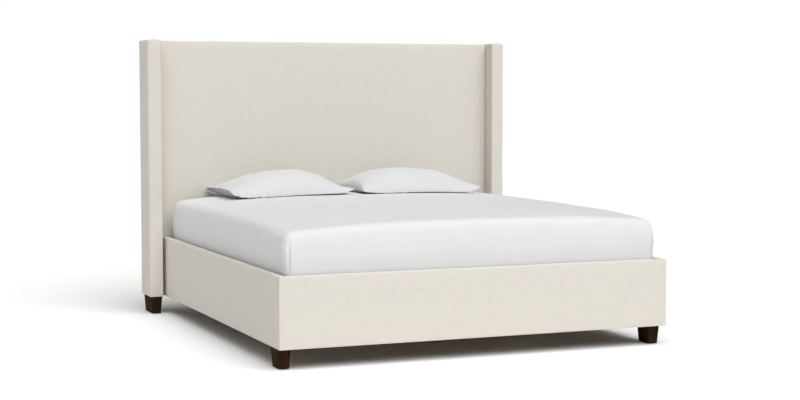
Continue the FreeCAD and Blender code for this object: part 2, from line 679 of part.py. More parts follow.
def corner_legs():
    """Two legs under the front corners' blocks and two under the wings, with their bolts and glides."""
    high = "(rail_bottom - glide_thick)"
    front_y = f"({FRONT} + front_leg_setback)"
    rear_y = f"({WING_FRONT} + rear_leg_inset)"
    front_x = "(base_width / 2 - front_leg_inset)"
    block_middle = f"({WELL_HALF} - block_wide / 2)"
    bolts, glides, blocks = [], [], []
    for side, sign in (("left", -1), ("right", 1)):
        outer = f"-{front_x}" if sign < 0 else f"({front_x} - front_leg_wide)"
        across = f"({sign} * {block_middle} - {outer})"
        front_bolts = [(across, f"front_leg_deep * {k}") for k in (0.3, 0.7)]
        rear_x = f"({sign} * ({HEAD_HALF} + wing_width / 2) - rear_leg_wide / 2)"
        rear_bolts = [("rear_leg_wide / 2", f"rear_leg_deep * {k}") for k in (0.25, 0.75)]
        legs = (
            (f"front_{side}_leg", outer, front_y, "front_leg_wide", "front_leg_deep", front_bolts),
            (f"rear_{side}_leg", rear_x, rear_y, "rear_leg_wide", "rear_leg_deep", rear_bolts),
        )
        for label, x, y, wide, deep, places in legs:
            leg = tapered_leg(label, (x, y, "glide_thick"), wide, deep, high)
            bore_from_top(leg, places, "bolt_radius + bolt_clear", high, "leg_bolt_depth + 1")
            low = value("rail_bottom - leg_bolt_depth")
            starts = [V(value(f"{x} + {a}"), value(f"{y} + {b}"), low) for a, b in places]
            bolt_size = size("bolt_radius"), size("leg_bolt_length")
            bolts += [Part.makeCylinder(*bolt_size, start) for start in starts]
            for share in (0.25, 0.75):
                centre = V(value(f"{x} + {wide} / 2"), value(f"{y} + {deep} * {share}"), 0)
                glides.append(Part.makeCylinder(size("glide_radius"), size("glide_thick"), centre))
            if label.startswith("front"):
                blocks.append(leg_block(sign, starts))
    group("leg_bolts", bolts)
    group("leg_glides", glides)
    group("front_leg_blocks", blocks)


def leg_block(sign, starts):
    """A hardwood block glued into a front corner, bored for the leg's bolts."""
    corner = V(sign * value(WELL_HALF), value(FOOT_INSIDE), size("rail_bottom"))
    made = box_from(corner, V(-sign * size("block_wide"), size("block_long"), size("block_high")))
    for start in starts:
        hole = Part.makeCylinder(size("bolt_radius") + size("bolt_clear"), 2 * size("leg_bolt_length"), start)
        made = made.cut(hole)
    return made


def centre_legs():
    """Square posts under the beam, each bored up from below for the stem of a levelling foot."""
    low, high = "foot_height", f"({SLAT_LOW} - beam_high - foot_height)"
    for name, sign in (("front", -1), ("rear", 1)):
        y = f"({sign} * centre_leg_spread - centre_leg / 2)"
        leg = block(f"{name}_center_leg", ("-centre_leg / 2", y, low), ("centre_leg", "centre_leg", high))
        centre = [("centre_leg / 2", "centre_leg / 2")]
        drill(leg, "XY_Plane", centre, "bolt_radius + foot_clear", "foot_bore", backwards=True)
        levelling_foot(f"{name}_leveller", V(0, sign * size("centre_leg_spread"), 0))


def levelling_foot(label, at):
    """A steel foot screwed fully in: round pad, hexagon for a spanner, threaded stem."""
    pad_high, corner = size("foot_pad"), size("foot_hex")
    pad = Part.makeCylinder(size("foot_radius"), pad_high, at)
    pad = pad.makeFillet(pad_high / 3, [e for e in pad.Edges if e.CenterOfMass.z > pad_high / 2])
    turns = [FreeCAD.Rotation(V(0, 0, 1), 60 * k) for k in range(7)]
    hexagon = Part.makePolygon([at + turn.multVec(V(corner, 0, pad_high)) for turn in turns])
    nut = Part.Face(hexagon).extrude(V(0, 0, pad_high))
    stem = Part.makeCylinder(size("bolt_radius"), size("foot_stem"), at + V(0, 0, 2 * pad_high))
    foot = doc.addObject("Part::Feature", label)
    foot.Shape = pad.fuse([nut, stem]).removeSplitter()
    keep(foot, label)


# ---------------------------------------------------------------- bedding


def mattress_and_sheet():
    """A king mattress with rounded edges, in a fitted sheet turned in underneath."""
    low = ("-mattress_width / 2", f"{FRONT} + mattress_setback", "mattress_low")
    extent = ("mattress_width", "mattress_length", "mattress_thick")
    block("mattress", low, extent, "mattress_round")
    inner = solid_box("sheet_inside", low, extent, "mattress_round")
    outer_low, outer_extent = grown(low, extent, "sheet_thick")
    outer = solid_box("sheet_outside", outer_low, outer_extent, size("mattress_round") + size("sheet_thick"))
    open_low = (
        f"{low[0]} + sheet_tuck",
        f"{low[1]} + sheet_tuck",
        "mattress_low - 3 * sheet_thick",
    )
    open_extent = ("mattress_width - 2 * sheet_tuck", "mattress_length - 2 * sheet_tuck", "4 * sheet_thick")
    shell = cut("sheet_shell", outer, inner)
    keep(cut("fitted_sheet", shell, solid_box("sheet_opening", open_low, open_extent)), "fitted_sheet")


def lens_face(half, high, edge, seam, flat):
    """A pillow's section: flat where it rests, raised seams, a bowed top."""
    left_low, right_low = V(-half, 0, edge - seam / 2), V(half, 0, edge - seam / 2)
    left_top, right_top = V(-half, 0, edge + seam / 2), V(half, 0, edge + seam / 2)
    rest_left, rest_right = V(-flat, 0, 0), V(flat, 0, 0)
    ease = (half - flat) / 2
    under = edge * 0.27
    edges = [
        Part.Arc(left_low, V(-flat - ease, 0, under), rest_left).toShape(),
        Part.LineSegment(rest_left, rest_right).toShape(),
        Part.Arc(rest_right, V(flat + ease, 0, under), right_low).toShape(),
        Part.LineSegment(right_low, right_top).toShape(),
        Part.Arc(right_top, V(0, 0, high), left_top).toShape(),
        Part.LineSegment(left_top, left_low).toShape(),
    ]
    return Part.Face(Part.Wire(edges))


def pillows():
    """Two sleeping pillows side by side: the shape where two lens sections meet."""
    wide, deep, high = size("pillow_width"), size("pillow_depth"), size("pillow_high")
    edge, seam = size("pillow_edge"), size("pillow_seam")
    along = lens_face(wide / 2, high, edge, seam, wide * 0.3).extrude(V(0, deep, 0))
    along.translate(V(0, -deep / 2, 0))
    across = lens_face(deep / 2, high, edge, seam, deep * 0.28).extrude(V(0, wide, 0))
    across.translate(V(0, -wide / 2, 0))
    across.rotate(V(0, 0, 0), V(0, 0, 1), 90)
    y = value(f"{PANEL} - pillow_setback - pillow_depth / 2")
    low = value("mattress_low + mattress_thick + sheet_thick + pillow_gap")
    for side in ("left", "right"):
        pillow = doc.addObject("Part::Feature", f"{side}_pillow")
        pillow.Shape = along.common(across)
        pillow.Placement.Base = V(size(f"{side}_pillow_place"), y, low)
        keep(pillow, f"{side}_pillow")


def write_parts():
    """Checks every sub-part and writes one STEP file for each."""
    doc.recompute()
    bad = [o.Label for o in doc.Objects if "Invalid" in o.State or "Error" in o.State]
    if bad:
        raise RuntimeError(f"failed objects: {bad}")
    os.makedirs("parts", exist_ok=True)
    for old in os.listdir("parts"):
        os.remove(os.path.join("parts", old))
    for piece in PIECES:
        shape = piece.Shape
        if shape.isNull() or not shape.isValid() or not shape.Solids:
            raise RuntimeError(f"{piece.Label} has no valid solid")
        shape.exportStep(os.path.join("parts", f"{piece.Label}.step"))
        print(f"{piece.Label}: {len(shape.Solids)} solid(s), {shape.Volume / 1e6:.3f} litres")
    print(f"{len(PIECES)} sub-parts")


side_rails()
footboard()
headboard_frame()
headboard_upholstery()
wings()
wing_bolts()
corner_brackets()
deck()
corner_legs()
centre_legs()
mattress_and_sheet()
pillows()
write_parts()
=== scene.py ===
import math

import bpy
import numpy as np
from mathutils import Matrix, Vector


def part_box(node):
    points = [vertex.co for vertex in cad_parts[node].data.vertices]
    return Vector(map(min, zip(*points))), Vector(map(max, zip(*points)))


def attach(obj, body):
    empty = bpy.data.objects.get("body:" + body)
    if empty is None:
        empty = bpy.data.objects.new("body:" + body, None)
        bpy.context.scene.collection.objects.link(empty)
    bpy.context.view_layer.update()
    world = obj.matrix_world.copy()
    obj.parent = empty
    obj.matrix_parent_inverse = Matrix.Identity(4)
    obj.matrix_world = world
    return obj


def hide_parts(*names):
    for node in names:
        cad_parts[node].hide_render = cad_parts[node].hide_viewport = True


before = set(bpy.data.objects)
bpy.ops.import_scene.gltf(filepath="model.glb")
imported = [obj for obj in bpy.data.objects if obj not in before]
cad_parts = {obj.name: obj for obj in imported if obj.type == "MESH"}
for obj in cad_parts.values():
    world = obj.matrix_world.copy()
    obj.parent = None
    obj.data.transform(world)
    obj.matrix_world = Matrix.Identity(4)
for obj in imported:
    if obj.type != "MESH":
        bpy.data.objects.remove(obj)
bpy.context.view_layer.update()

MM = 0.001

# The picture's camera, in the row frame
CAMERA_PLACE = (-3.2177, -7.8972, 1.2652)
CAMERA_YAW, CAMERA_DOWN = 22.431, 3.934  # degrees from +Y towards +X, and below the horizon
CAMERA_LENS = 71.655

# How the soft pieces are made
FABRIC = 1.5 * MM
FIT = 0.2 * MM  # play round what a cover holds
RAIL_ROUND = 3.5 * MM
PANEL_ROUND = 7 * MM
PANEL_BACK_ROUND = 2 * MM
PANEL_SEAM = 32 * MM  # below the headboard's top
WING_ROUND = 5.5 * MM
WING_SEAM = 11 * MM  # behind a wing's front
WING_CROWN = 5 * MM
LIP = 60 * MM  # cover folded down behind a rail's top
BACK_FOLD = 38 * MM  # headboard's cover folded onto its back
BACK_HEM = 14 * MM
STAPLE_PITCH = 60 * MM
MATTRESS_ROUND = 48 * MM
MATTRESS_CORNER = 30 * MM
MATTRESS_FALL = (35 * MM, 25 * MM, 6 * MM)  # from its middle to its sides, foot and head
SHEET_TUCK = 140 * MM
SHEET_FOLD = 20 * MM  # from the mattress's corners
HEM = 100 * MM  # pillowcase's hem, from its open end
PILLOW_TIPS = (31 * MM, 37 * MM)  # a pillow's seam above the sheet, at its closed and open corners


# Numbers

def corners(name):
    """A CAD node's lowest and highest corners."""
    low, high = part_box(name)
    return np.array(low), np.array(high)


def ease(value, start, end):
    """0 at start, 1 at end, smooth between."""
    part = np.clip((np.asarray(value, float) - start) / (end - start), 0, 1)
    return part * part * (3 - 2 * part)


def groove(value, centre, width):
    """1 at the centre, falling off to nothing over the width on either side."""
    return np.exp(-(((value - centre) / width) ** 2))


def ripple(at, length, seed, waves=7):
    """A smooth random wave over points, mostly within -1 to 1, with about that length between crests."""
    chance, total = np.random.default_rng(seed), 0
    for _ in range(waves):
        way = chance.normal(size=at.shape[1])
        way *= 2 * math.pi / (np.linalg.norm(way) * length * chance.uniform(0.7, 1.5))
        total = total + np.sin(at @ way + chance.uniform(0, 2 * math.pi))
    return total / math.sqrt(waves)


def lines(low, high, edge, step, extra=(), arc=False, near=6):
    """Grid lines from low to high, close together within the edges and a step apart between them."""
    turn = np.linspace(0, 1, near + 1)[:-1]
    inset = 1 - np.cos(turn * math.pi / 2) if arc else 1 - np.tan((1 - turn) * math.pi / 4)
    count = max(1, round((high - low - 2 * edge) / step))
    made = np.concatenate([low + edge * inset, np.linspace(low + edge, high - edge, count + 1),
                           high - edge * inset])
    extra = np.array([e for e in extra if low < e < high])
    if len(extra):
        made = made[[min(abs(extra - line)) > 0.9 * MM or line in (low, high) for line in made]]
    return np.unique(np.round(np.concatenate([made, extra]), 6))


# Meshes

def surface(xs, ys, zs, skip=None):
    """The points and quads of a box's surface on those grid lines, without the cells that skip picks."""
    axes, ids, points, quads = (xs, ys, zs), {}, [], []
    last = [len(a) - 1 for a in axes]
    for axis in range(3):
        u, v = (axis + 1) % 3, (axis + 2) % 3
        for side in (0, 1):
            for a in range(last[u]):
                for b in range(last[v]):
                    middle = (axes[u][a] + axes[u][a + 1]) / 2, (axes[v][b] + axes[v][b + 1]) / 2
                    if skip and skip(axis, side, *middle):
                        continue
                    quad = []
                    for da, db in ((0, 0), (1, 0), (1, 1), (0, 1)):
                        key = [side * last[axis]] * 3
                        key[u], key[v] = a + da, b + db
                        if tuple(key) not in ids:
                            ids[tuple(key)] = len(points)
                            points.append([axes[i][key[i]] for i in range(3)])
                        quad.append(ids[tuple(key)])
                    quads.append(quad if side else quad[::-1])
    return np.array(points), quads


def rounded(points, low, high, radius):
    """A sharp box's points moved onto the box with round edges, and its outward directions."""
    core = np.clip(points, low + radius, high - radius)
    out = points - core
    out /= np.linalg.norm(out, axis=1)[:, None]
    return core + out * radius, out


def rim(quads):
    """The corners round the hole in a surface, in the order of the quads beside it."""
    edges = {(a, b) for quad in quads for a, b in zip(quad, quad[1:] + quad[:1])}
    after = {a: b for a, b in edges if (b, a) not in edges}
    loop = [min(after)]
    while after[loop[-1]] != loop[0]:
        loop.append(after[loop[-1]])
    return loop


def pocket(points, quads, axis, window, rings):
    """Lines the hole in a face with walls through the rings, each (rectangle, depth), and a floor."""
    u, v = (axis + 1) % 3, (axis + 2) % 3
    loop = rim(quads)
    share = [(points[loop, u] - window[0]) / (window[1] - window[0]),
             (points[loop, v] - window[2]) / (window[3] - window[2])]
    for rectangle, depth in rings:
        ring = points[loop].copy()
        ring[:, axis] = depth
        ring[:, u] = rectangle[0] + share[0] * (rectangle[1] - rectangle[0])
        ring[:, v] = rectangle[2] + share[1] * (rectangle[3] - rectangle[2])
        inner = list(range(len(points), len(points) + len(loop)))
        points = np.vstack([points, ring])
        for k in range(len(loop)):
            n = (k + 1) % len(loop)
            quads.append([loop[n], loop[k], inner[k], inner[n]])
        loop = inner
    quads.append(loop[::-1])
    return points, quads


def lay_uv(mesh, flat=False):
    """UVs in metres, each face laid flat along its nearest axis, or everything from above."""
    layer = mesh.uv_layers.new(name="cloth")
    points = np.array([v.co for v in mesh.vertices])
    places = np.zeros((len(mesh.loops), 2))
    for face in mesh.polygons:
        axis = 2 if flat else int(np.argmax(np.abs(face.normal)))
        u, v = {0: (1, 2), 1: (0, 2), 2: (0, 1)}[axis]
        for loop in face.loop_indices:
            at = points[mesh.loops[loop].vertex_index]
            places[loop] = at[u], at[v]
    layer.data.foreach_set("uv", places.ravel())


def piece(name, points, faces, body, material, stands_for=(), flat_uv=False, sharp=50):
    """A named object on a CAD body, in that material."""
    mesh = bpy.data.meshes.new(name)
    mesh.from_pydata(np.asarray(points).tolist(), [], faces)
    mesh.shade_smooth()
    mesh.set_sharp_from_angle(angle=math.radians(sharp))
    mesh.materials.append(material)
    lay_uv(mesh, flat_uv)
    made = bpy.data.objects.new(name, mesh)
    bpy.context.scene.collection.objects.link(made)
    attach(made, body)
    if stands_for:
        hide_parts(*stands_for)
    return made


def thicken(made, thickness):
    """Gives an open surface its thickness, inwards."""
    solidify = made.modifiers.new("thickness", "SOLIDIFY")
    solidify.thickness, solidify.offset = thickness, -1
    solidify.use_rim = True
    mesh = bpy.data.meshes.new_from_object(
        made.evaluated_get(bpy.context.evaluated_depsgraph_get()))
    made.modifiers.clear()
    made.data = mesh


# Materials

def shader(name, **settings):
    """A new material, its tree and its shader, with constants on the shader's own sockets."""
    material = bpy.data.materials.new(name)
    material.use_nodes = True
    principled = material.node_tree.nodes["Principled BSDF"]
    for socket, setting in settings.items():
        principled.inputs[socket.replace("_", " ")].default_value = setting
    return material, material.node_tree, principled


def node(tree, kind, inputs, **settings):
    """A new node, each input a number or another node's socket."""
    made = tree.nodes.new("ShaderNode" + kind)
    for name, setting in settings.items():
        setattr(made, name, setting)
    for socket, source in inputs.items():
        if isinstance(source, bpy.types.NodeSocket):
            tree.links.new(source, made.inputs[socket])
        else:
            made.inputs[socket].default_value = source
    return made


def place(tree, kind="UV"):
    """Where a point is, on the laid-out cloth or in its object."""
    return node(tree, "TexCoord", {}).outputs[kind]


def grain(tree, at, stretch, detail=3):
    """Noise with that many features per metre along each axis."""
    mapped = node(tree, "Mapping", {"Vector": at, "Scale": stretch}).outputs[0]
    return node(tree, "TexNoise", {"Vector": mapped, "Scale": 1.0, "Detail": detail}).outputs[0]


def maths(tree, operation, a, b):
    """Two numbers or sockets put together by a maths node."""
    return node(tree, "Math", {0: a, 1: b}, operation=operation).outputs[0]


def colours(tree, share, stops):
    """A colour ramp through (position, colour) stops."""
    ramp = node(tree, "ValToRGB", {"Fac": share})
    elements = ramp.color_ramp.elements
    while len(elements) < len(stops):
        elements.new(0.5)
    for element, (position, colour) in zip(elements, stops):
        element.position, element.color = position, (*colour, 1)
    return ramp.outputs["Color"]


def raise_by(tree, principled, height, distance, strength=1.0):
    """Bump of that height in metres."""
    bump = node(tree, "Bump", {"Height": height, "Distance": distance, "Strength": strength})
    tree.links.new(bump.outputs[0], principled.inputs["Normal"])


def tone(colour, factor):
    """A colour made lighter or darker."""
    return tuple(c * factor for c in colour)


def linen(name="cream_linen", colour=(0.676, 0.643, 0.586)):
    """Slubbed cream linen: uneven threads both ways, some thicker."""
    material, tree, principled = shader(name, Roughness=0.92, Sheen_Weight=0.08, Sheen_Roughness=0.5,
                                        Specular_IOR_Level=0.3)
    at = place(tree)
    threads = maths(tree, "ADD", grain(tree, at, (30, 750, 1)), grain(tree, at, (750, 30, 1)))
    slubs = maths(tree, "ADD", grain(tree, at, (14, 190, 1), 2), grain(tree, at, (190, 14, 1), 2))
    both = maths(tree, "ADD", maths(tree, "MULTIPLY", threads, 0.30), maths(tree, "MULTIPLY", slubs, 0.20))
    tree.links.new(colours(tree, both, [(0.36, tone(colour, 0.925)), (0.64, tone(colour, 1.06))]),
                   principled.inputs["Base Color"])
    raise_by(tree, principled, threads, 0.6 * MM, 0.5)
    return material


def cotton(name, colour, wave=0.5):
    """Smooth white percale with a faint thread and a soft crush."""
    material, tree, principled = shader(name, Roughness=0.78, Sheen_Weight=0.10, Sheen_Roughness=0.4)
    at = place(tree)
    threads = maths(tree, "ADD", grain(tree, at, (120, 1500, 1), 2), grain(tree, at, (1500, 120, 1), 2))
    crush = grain(tree, at, (9, 9, 1), 3)
    share = maths(tree, "MULTIPLY", maths(tree, "ADD", threads, crush), 0.333)
    tree.links.new(colours(tree, share, [(0.36, tone(colour, 0.965)), (0.64, tone(colour, 1.03))]),
                   principled.inputs["Base Color"])
    raise_by(tree, principled, maths(tree, "ADD", maths(tree, "MULTIPLY", threads, 0.08), crush),
             wave * 6 * MM, 0.35)
    return material


def ticking():
    """Mattress ticking: white with fine woven stripes."""
    material, tree, principled = shader("mattress_ticking", Roughness=0.85)
    at = place(tree)
    stripes = node(tree, "TexWave", {"Vector": at, "Scale": 12.0, "Distortion": 0.2}).outputs[1]
    tree.links.new(colours(tree, stripes, [(0.45, (0.62, 0.61, 0.58)), (0.85, (0.40, 0.42, 0.45))]),
                   principled.inputs["Base Color"])
    raise_by(tree, principled, grain(tree, at, (700, 700, 1)), 0.5 * MM, 0.5)
    return material


def back_cloth():
    """Plain woven backing cloth, a little coarser and darker than the linen."""
    material, tree, principled = shader("backing_cloth", Roughness=0.95)
    at = place(tree)
    threads = maths(tree, "ADD", grain(tree, at, (60, 520, 1)), grain(tree, at, (520, 60, 1)))
    cloudy = grain(tree, at, (6, 6, 1), 4)
    share = maths(tree, "ADD", maths(tree, "MULTIPLY", threads, 0.46), maths(tree, "MULTIPLY", cloudy, 0.08))
    tree.links.new(colours(tree, share, [(0.38, (0.49, 0.46, 0.41)), (0.62, (0.63, 0.595, 0.54))]),
                   principled.inputs["Base Color"])
    raise_by(tree, principled, threads, 0.6 * MM, 0.6)
    return material


def wood(name, along, dark, light, roughness=0.62, pores=0.35, gloss=0.4):
    """Wood with its grain along one axis of the row frame."""
    material, tree, principled = shader(name, Roughness=roughness, Specular_IOR_Level=gloss)
    at = place(tree, "Object")
    broad, fine = [26.0] * 3, [620.0] * 3
    broad[along], fine[along] = 1.6, 14.0
    bands = grain(tree, at, broad, 4)
    fibres = grain(tree, at, fine, 3)
    rings = node(tree, "TexWave", {"Vector": bands, "Scale": 3.2, "Distortion": 1.5, "Detail": 2.0},
                 wave_profile="SAW").outputs[1]
    share = maths(tree, "ADD", maths(tree, "MULTIPLY", rings, 0.45),
                  maths(tree, "ADD", maths(tree, "MULTIPLY", bands, 0.30),
                        maths(tree, "MULTIPLY", fibres, pores)))
    tree.links.new(colours(tree, share, [(0.25, light), (0.85, dark)]), principled.inputs["Base Color"])
    raise_by(tree, principled, fibres, 0.25 * MM, 0.5)
    return material


def metal(name, colour, roughness):
    """Zinc-plated steel, slightly uneven."""
    material, tree, principled = shader(name, Metallic=1.0)
    at = place(tree, "Object")
    cloudy = grain(tree, at, (160, 160, 160), 4)
    tree.links.new(colours(tree, cloudy, [(0.3, tone(colour, 0.8)), (0.7, colour)]),
                   principled.inputs["Base Color"])
    tree.links.new(maths(tree, "ADD", maths(tree, "MULTIPLY", cloudy, 0.25), roughness),
                   principled.inputs["Roughness"])
    raise_by(tree, principled, grain(tree, at, (900, 900, 900), 2), 0.05 * MM, 0.5)
    return material


def painted(name, colour, roughness, peel):
    """Powder coat or moulded plastic with a fine orange peel."""
    material, tree, principled = shader(name, Roughness=roughness)
    at = place(tree, "Object")
    tree.links.new(colours(tree, grain(tree, at, (90, 90, 90), 4),
                           [(0.3, tone(colour, 0.85)), (0.7, tone(colour, 1.12))]),
                   principled.inputs["Base Color"])
    raise_by(tree, principled, grain(tree, at, (700, 700, 700), 2), peel, 0.6)
    return material


def dress_frame():
    """Materials for every CAD node that shows, woods with the grain along each piece."""
    frame_wood = [wood(f"poplar_along_{'xyz'[a]}", a, (0.36, 0.27, 0.18), (0.55, 0.45, 0.33))
                  for a in range(3)]
    finishes = {
        "plywood": wood("birch_plywood", 0, (0.46, 0.33, 0.19), (0.66, 0.52, 0.34)),
        "slat_wood": wood("pine_slats", 0, (0.48, 0.34, 0.20), (0.68, 0.55, 0.38)),
        "leg_wood": wood("espresso_stain", 2, (0.014, 0.007, 0.0035), (0.050, 0.026, 0.014),
                         roughness=0.6, pores=0.5, gloss=0.02),
        "glide_nylon": painted("black_nylon", (0.035, 0.035, 0.035), 0.5, 0.05 * MM),
        "steel": metal("zinc_steel", (0.62, 0.63, 0.65), 0.25),
        "bracket_steel": painted("black_powder_coat", (0.02, 0.02, 0.022), 0.45, 0.1 * MM),
    }
    for name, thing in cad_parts.items():
        low, high = corners(name)
        for spot in thing.material_slots:
            kind = spot.material.name.split(".")[0]
            if kind == "frame_wood":
                spot.material = frame_wood[int(np.argmax(high - low))]
            elif kind in finishes:
                spot.material = finishes[kind]


# Upholstery

def face_inset(points, low, high, axis):
    """How far each point is from the nearest edge of the faces across that axis."""
    others = [i for i in range(3) if i != axis]
    return np.min([np.minimum(points[:, i] - low[i], high[i] - points[:, i]) for i in others], axis=0)


def puffed(points, out, low, high, axis, side, amount, over, seed):
    """Pads the face on that side: low at its edges, full inside, and a little uneven."""
    facing = np.clip(out[:, axis] * side, 0, 1) ** 2
    inset = face_inset(points, low, high, axis)
    full = amount * (1 - np.exp(-inset / over)) + 0.5 * MM * ripple(points, 0.30, seed)
    return points + out * (facing * full)[:, None]


def rail(name, side, cloth):
    """A side rail's padded cover: its board shows inside, below the folded lip."""
    cover, board = corners(f"{name}_side_rail_cover"), corners(f"{name}_side_rail_board")
    low, high = cover
    radius = RAIL_ROUND
    inside = low[0] if side > 0 else high[0]
    window = (board[0][1], board[1][1], board[0][2], high[2] - LIP)
    ys = lines(low[1], high[1], radius, 15 * MM, window[:2])
    zs = lines(low[2], high[2], radius, 12 * MM, window[2:])
    xs = lines(low[0], high[0], radius, 9 * MM)
    points, quads = surface(xs, ys, zs, lambda axis, end, u, v: axis == 0 and end == (side < 0)
                            and window[0] < u < window[1] and window[2] < v < window[3])
    points, out = rounded(points, low, high, radius)
    points = puffed(points, out, low, high, 0, side, 3.2 * MM, 22 * MM, 11 + side)
    points = puffed(points, out, low, high, 2, 1, 0.8 * MM, 6 * MM, 21 + side)
    held = (board[0][1] - FIT, board[1][1] + FIT, board[0][2] - FIT, board[1][2] + FIT)
    behind = inside + side * FABRIC * 0.85
    outer = board[1][0] + FIT if side > 0 else board[0][0] - FIT
    points, quads = pocket(points, quads, 0, window, [(window, behind), (held, behind), (held, outer)])
    made = piece(f"{name}_side_rail_upholstery", points, quads, "bed_frame", cloth,
                 (f"{name}_side_rail_cover", f"{name}_side_rail_foam"))
    return made


def footboard(cloth):
    """The footboard's padded cover, folded over its top and round its ends."""
    (low, high), board = corners("footboard_cover"), corners("footboard_board")
    well = corners("right_side_rail_board")[0][0]
    radius = RAIL_ROUND
    window = (board[0][2], high[2] - LIP, -well, well)
    zs = lines(low[2], high[2], radius, 12 * MM, window[:2])
    xs = lines(low[0], high[0], radius, 15 * MM, window[2:])
    ys = lines(low[1], high[1], radius, 9 * MM)
    points, quads = surface(xs, ys, zs, lambda axis, end, u, v: axis == 1 and end
                            and window[0] < u < window[1] and window[2] < v < window[3])
    points, out = rounded(points, low, high, radius)
    points = puffed(points, out, low, high, 1, -1, 3.2 * MM, 22 * MM, 31)
    points = puffed(points, out, low, high, 2, 1, 0.8 * MM, 6 * MM, 32)
    held = (board[0][2] - FIT, board[1][2] + FIT, board[0][0] - FIT, board[1][0] + FIT)
    behind = high[1] - FABRIC * 0.85
    points, quads = pocket(points, quads, 1, window,
                           [(window, behind), (held, behind), (held, board[0][1] - FIT)])
    made = piece("footboard_upholstery", points, quads, "bed_frame", cloth,
                 ("footboard_cover", "footboard_foam"))
    return made


def headboard(cloth):
    """The headboard's padded cover: a soft front, a seam under its top edge, folded onto the back."""
    low, high = corners("headboard_front_cover")
    frame_low, frame_high = corners("headboard_front_board")
    mount_low, mount_high = corners("headboard_mounting_rail")
    back = corners("headboard_back_cover")[0][1]
    radius, seam = PANEL_ROUND, high[2] - PANEL_SEAM
    window = (low[2] + FABRIC, high[2] - BACK_FOLD, low[0] + BACK_FOLD, high[0] - BACK_FOLD)
    by_seam = [seam + d * MM for d in (-6, -3.5, -1.8, 0, 1.8, 3.5, 6)]
    tight = [0.9 * MM, 1.9 * MM]
    xs = lines(low[0], high[0], radius, 15 * MM, [*window[2:], *(low[0] + d for d in tight),
                                                  *(high[0] - d for d in tight)])
    zs = lines(low[2], high[2], radius, 15 * MM, [*window[:2], *by_seam, *(high[2] - d for d in tight)])
    ys = lines(low[1], high[1], radius, 12 * MM, [high[1] - d for d in tight])
    points, quads = surface(xs, ys, zs, lambda axis, end, u, v: axis == 1 and end
                            and window[0] < u < window[1] and window[2] < v < window[3])
    depth = points[:, 1:2]
    tighter = (PANEL_BACK_ROUND - radius) * ease(depth, low[1] + 0.03, low[1] + 0.06)
    points, out = rounded(points, low, high, radius + tighter)
    points = puffed(points, out, low, high, 1, -1, 5 * MM, 45 * MM, 41)
    front = np.clip(-out[:, 1], 0, 1)
    points[:, 1] += front * 1.4 * MM * ease(points[:, 2], seam, high[2])
    points[:, 1] += front * 0.4 * MM * groove(points[:, 2], seam, 3 * MM)
    points = puffed(points, out, low, high, 2, 1, 1.5 * MM, 15 * MM, 42)
    held = (frame_low[2] - FIT, frame_high[2] + FIT, frame_low[0] - FIT, frame_high[0] + FIT)
    mount = (frame_low[2] - FIT, mount_high[2] + FIT, mount_low[0] - FIT, mount_high[0] + FIT)
    points, quads = pocket(points, quads, 1, window, [
        (window, back + FIT), (held, back + FIT), (held, frame_low[1] - FIT),
        (mount, frame_low[1] - FIT), (mount, mount_low[1] - FIT)])
    made = piece("headboard_upholstery", points, quads, "bed_frame", cloth,
                 ("headboard_front_cover", "headboard_foam"))
    return made


def wing(name, side, cloth):
    """A wing's padded cover round its core: seams behind its front edges and a crowned top."""
    (low, high), core = corners(f"{name}_wing_cover"), corners(f"{name}_wing_core")
    radius, seam = WING_ROUND, low[1] + WING_SEAM
    xs = lines(low[0], high[0], radius, 10 * MM)
    ys = lines(low[1], high[1], radius, 14 * MM, [seam + d * MM for d in (-3.5, -1.6, 0, 1.6, 3.5)])
    zs = lines(low[2], high[2], radius, 14 * MM)
    points, quads = surface(xs, ys, zs)
    points, out = rounded(points, low, high, radius)
    points = puffed(points, out, low, high, 1, -1, 2.2 * MM, 12 * MM, 51 + side)
    points = puffed(points, out, low, high, 0, side, 2.5 * MM, 30 * MM, 53 + side)
    sides = np.abs(out[:, 0])
    points[:, 0] -= np.sign(out[:, 0]) * sides * 1.3 * MM * groove(points[:, 1], seam, 1.7 * MM)
    middle, half = (low[0] + high[0]) / 2, (high[0] - low[0]) / 2
    across = (points[:, 0] - middle) / half
    points[:, 2] += WING_CROWN * np.clip(out[:, 2], 0, 1) * (1 - across ** 2)
    hollow, walls = surface(*([a, b] for a, b in zip(core[0] - FIT, core[1] + FIT)))
    quads = quads + [[i + len(points) for i in wall[::-1]] for wall in walls]
    made = piece(f"{name}_wing_upholstery", np.vstack([points, hollow]), quads, "bed_frame", cloth,
                 (f"{name}_wing_cover", f"{name}_wing_foam"))
    return made


def backing(cloth, steel):
    """The cloth stapled over the headboard's back, hem turned under."""
    low, high = corners("headboard_back_cover")
    hem = BACK_HEM
    left, right, under, over = low[0] + hem, high[0] - hem, low[2] + 2 * MM, high[2] - hem
    behind = high[1] + 0.3 * MM
    xs = lines(left, right, hem, 28 * MM)
    zs = lines(under, over, hem, 28 * MM)
    points = np.array([[x, behind, z] for z in zs for x in xs])
    row = len(xs)
    faces = [[(r + 1) * row + c, (r + 1) * row + c + 1, r * row + c + 1, r * row + c]
             for r in range(len(zs) - 1) for c in range(row - 1)]
    edge = np.minimum.reduce([points[:, 0] - left, right - points[:, 0],
                              points[:, 2] - under, over - points[:, 2]])
    points[:, 1] += 1.5 * MM + 0.7 * MM * (1 - ease(edge, hem * 0.6, hem * 1.1))
    points[:, 1] += 0.5 * MM * ripple(points[:, [0, 2]], 0.22, 61) * ease(edge, 0.02, 0.15)
    made = piece("headboard_back_cloth", points, faces, "bed_frame", cloth,
                 ("headboard_back_cover",))
    thicken(made, 1.2 * MM)
    staples(steel, (left, right, under, over), behind + 2.5 * MM)


